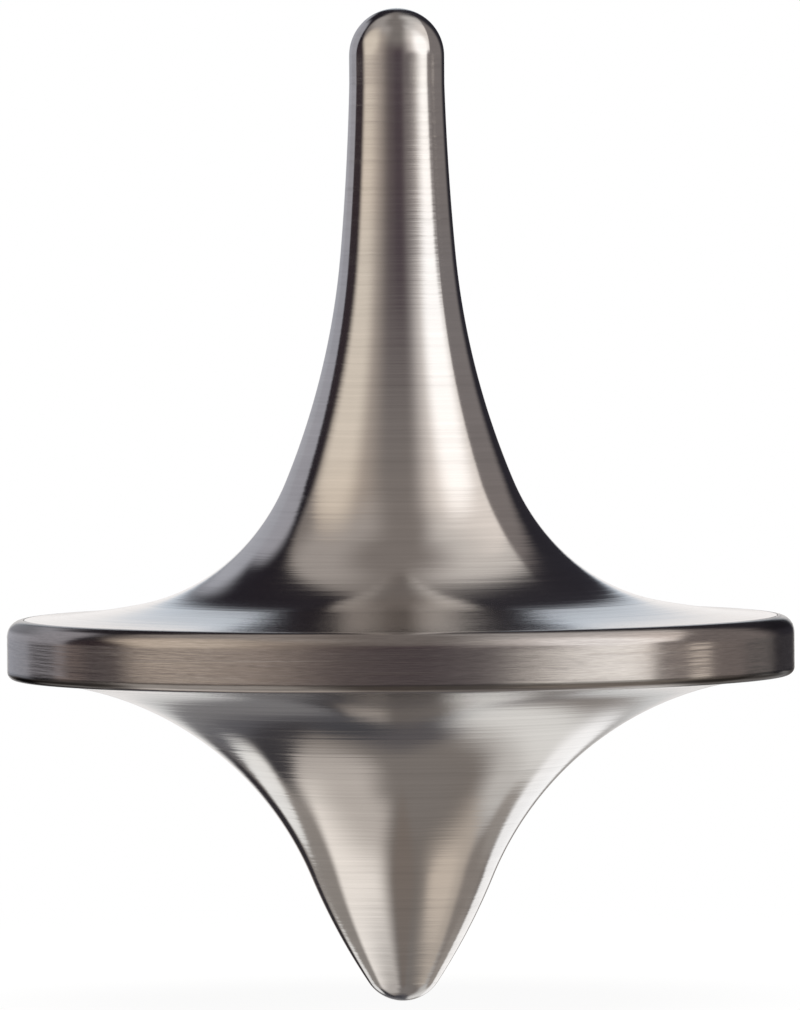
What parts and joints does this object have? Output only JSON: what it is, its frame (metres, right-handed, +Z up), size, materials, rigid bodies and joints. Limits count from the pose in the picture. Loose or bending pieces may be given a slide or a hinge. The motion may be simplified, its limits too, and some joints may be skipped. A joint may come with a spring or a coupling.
{
  "type": "spinning top",
  "caption": "Hand-spun metal top: domed stem flaring into a flanged shell, brushed rim ring, tapered lower cone with a rounded point, screwed together on a central stud.",
  "frame": {"origin": "the point of the pressed-in pin, where the top touches the table", "axes": "+Z up along the spin axis, from the point to the dome of the handle; the part is round, so +X and +Y are arbitrary"},
  "size_m": [0.0286, 0.0286, 0.0361],
  "materials": {
    "turned_steel": "finely turned and polished stainless steel",
    "brushed_rim_steel": "coarser circumferential brush, slightly warmer tone",
    "hardened_pin_steel": "ground and polished hardened steel",
    "black_oxide_steel": "black oxide, lightly oiled"
  },
  "bodies": {
    "lower_body": {"lower_cone": "turned_steel", "tip_pin": "hardened_pin_steel"},
    "rim": {"flywheel_ring": "brushed_rim_steel"},
    "handle": {"handle_stem": "turned_steel", "threaded_stud": "black_oxide_steel"}
  },
  "joints": [
    {"name": "handle_lift", "type": "slide", "parent": "lower_body", "child": "rim", "axis": [0, 0, 1], "range_m": [0, 0.0042]},
    {"name": "handle_turn", "type": "hinge", "parent": "rim", "child": "handle", "pos_m": [0, 0, 0.0129], "axis": [0, 0, 1], "range_deg": [0, 2160]}
  ],
  "couplings": [
    {"joint": "handle_lift", "follows": "handle_turn", "m_per_rad": 0.00011141}
  ]
}
